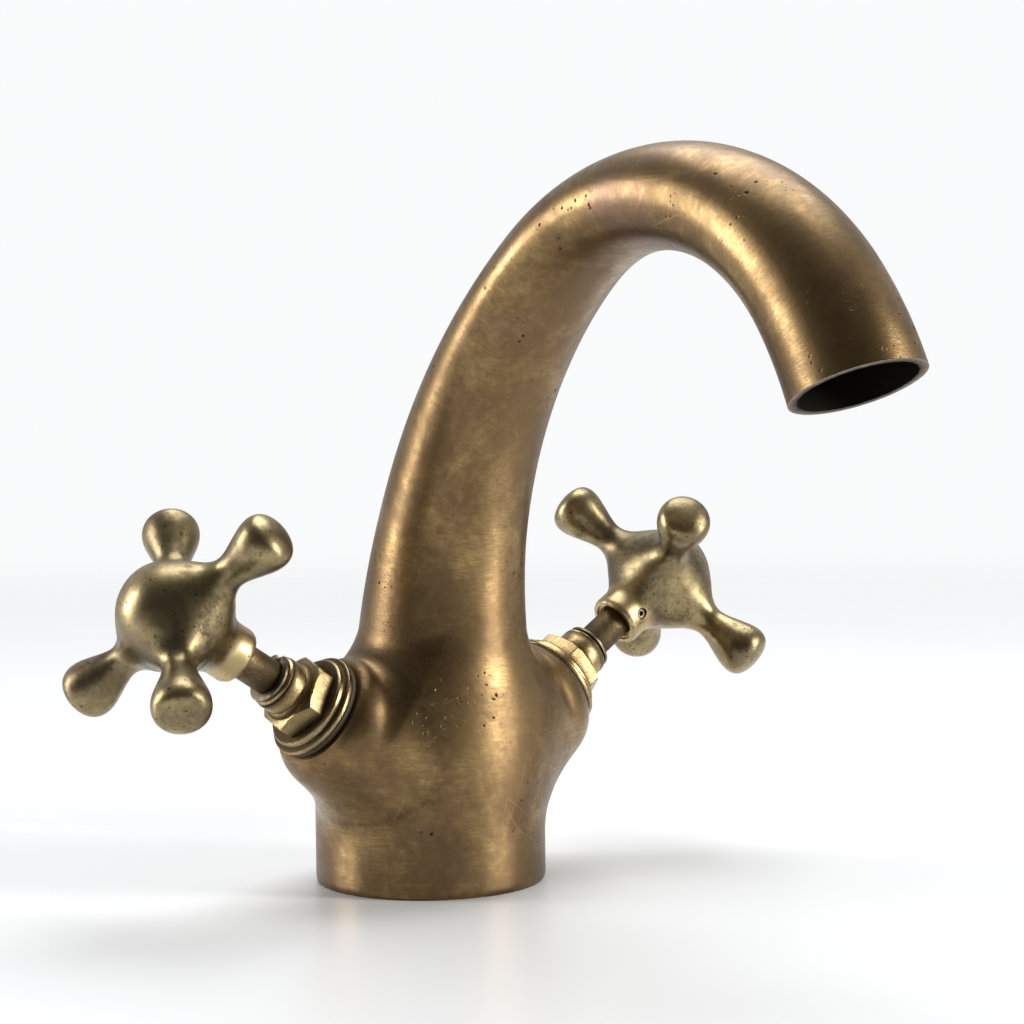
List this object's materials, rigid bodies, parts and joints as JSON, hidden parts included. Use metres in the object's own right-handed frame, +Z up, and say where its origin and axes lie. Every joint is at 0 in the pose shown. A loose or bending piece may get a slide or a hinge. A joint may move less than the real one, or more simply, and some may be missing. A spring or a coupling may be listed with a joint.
{
  "type": "bathroom mixer faucet",
  "caption": "Monobloc basin mixer: swan-neck spout cast with a round base, tilted compression valves and cross handles with ball-ended arms.",
  "frame": {"origin": "centre of the base's flat underside", "axes": "+Z up, the spout reaches towards -Y, the hot valve is on the -X side and the cold valve on the +X side"},
  "size_m": [0.1607, 0.1644, 0.1525],
  "materials": {
    "aged_brass": "satin, aged, fine brushing, small dark pits",
    "worn_brass": "brushed flats, dark grime in the corners",
    "handle_brass": "cast, dark patina, worn bright on the ball ends",
    "dark_brass": "turned, tarnished",
    "clean_brass": "machined, hidden inside",
    "steel": "plain",
    "fibre": "matte",
    "rubber": "matte"
  },
  "bodies": {
    "faucet": {"body_casting": "aged_brass", "base_seal_ring": "rubber", "bonnet_hot": "worn_brass", "bonnet_washer_hot": "fibre", "thrust_washer_hot": "fibre", "seat_bush_hot": "clean_brass", "bonnet_cold": "worn_brass", "bonnet_washer_cold": "fibre", "thrust_washer_cold": "fibre", "seat_bush_cold": "clean_brass"},
    "valve_hot": {"handle_hot": "handle_brass", "spindle_hot": "dark_brass", "retaining_clip_hot": "steel", "o_ring_inner_hot": "rubber", "o_ring_outer_hot": "rubber", "grub_screw_hot": "steel"},
    "plunger_hot": {"jumper_hot": "clean_brass", "seat_washer_hot": "rubber", "washer_screw_hot": "clean_brass"},
    "valve_cold": {"handle_cold": "handle_brass", "spindle_cold": "dark_brass", "retaining_clip_cold": "steel", "o_ring_inner_cold": "rubber", "o_ring_outer_cold": "rubber", "grub_screw_cold": "steel"},
    "plunger_cold": {"jumper_cold": "clean_brass", "seat_washer_cold": "rubber", "washer_screw_cold": "clean_brass"}
  },
  "joints": [
    {"name": "handle_hot_turn", "type": "hinge", "parent": "faucet", "child": "valve_hot", "pos_m": [-0.04623, -0.0031, 0.04969], "axis": [-0.8406, 0, 0.5417], "range_deg": [0, 540]},
    {"name": "plunger_hot_lift", "type": "slide", "parent": "faucet", "child": "plunger_hot", "axis": [-0.8406, 0, 0.5417], "range_m": [0, 0.00305]},
    {"name": "handle_cold_turn", "type": "hinge", "parent": "faucet", "child": "valve_cold", "pos_m": [0.04623, -0.0031, 0.04969], "axis": [0.8406, 0, 0.5417], "range_deg": [0, 540]},
    {"name": "plunger_cold_lift", "type": "slide", "parent": "faucet", "child": "plunger_cold", "axis": [0.8406, 0, 0.5417], "range_m": [0, 0.00305]}
  ],
  "couplings": [
    {"joint": "plunger_hot_lift", "follows": "handle_hot_turn", "m_per_rad": 0.00031831},
    {"joint": "plunger_cold_lift", "follows": "handle_cold_turn", "m_per_rad": 0.00031831}
  ]
}
